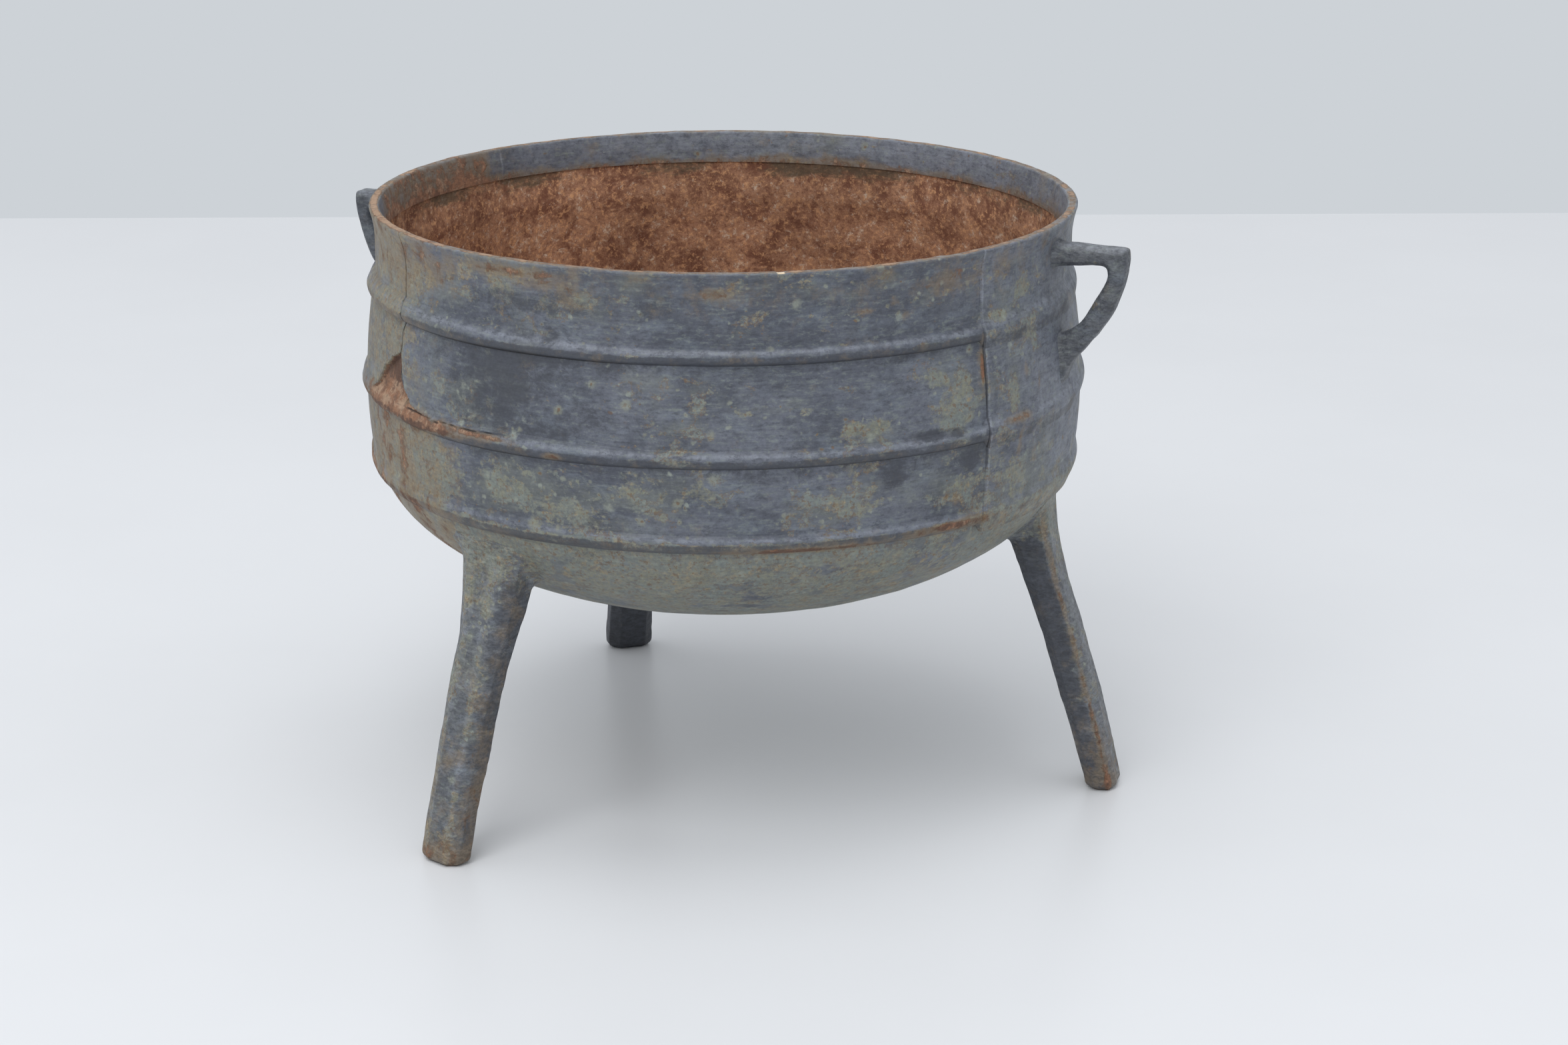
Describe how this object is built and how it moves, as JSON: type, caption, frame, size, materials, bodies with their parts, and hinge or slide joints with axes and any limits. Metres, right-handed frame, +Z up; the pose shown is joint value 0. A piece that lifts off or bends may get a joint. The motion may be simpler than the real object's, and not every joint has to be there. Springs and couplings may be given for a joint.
{
  "type": "cooking pot",
  "caption": "Round-bottomed cast iron cooking pot with a flared rim, raised bands, angular loop ears and splayed legs.",
  "frame": {"origin": "on the pot's upright axis, at the floor between the feet", "axes": "+Z up along the pot's axis; +X from the axis to the right ear, level; +Y to the back"},
  "size_m": [0.5959, 0.5342, 0.4215],
  "materials": {
    "outer_iron": "rough cast, slate grey with rust and pale patina",
    "dark_iron": "rough cast, dark slate with rust"
  },
  "bodies": {
    "root": {"round_bottom": "outer_iron", "belly": "outer_iron", "rim": "outer_iron", "upper_band": "outer_iron", "middle_band": "outer_iron", "lower_band": "outer_iron", "right_ear": "dark_iron", "left_ear": "dark_iron", "front_left_leg": "dark_iron", "front_right_leg": "dark_iron", "rear_leg": "dark_iron"}
  },
  "joints": []
}
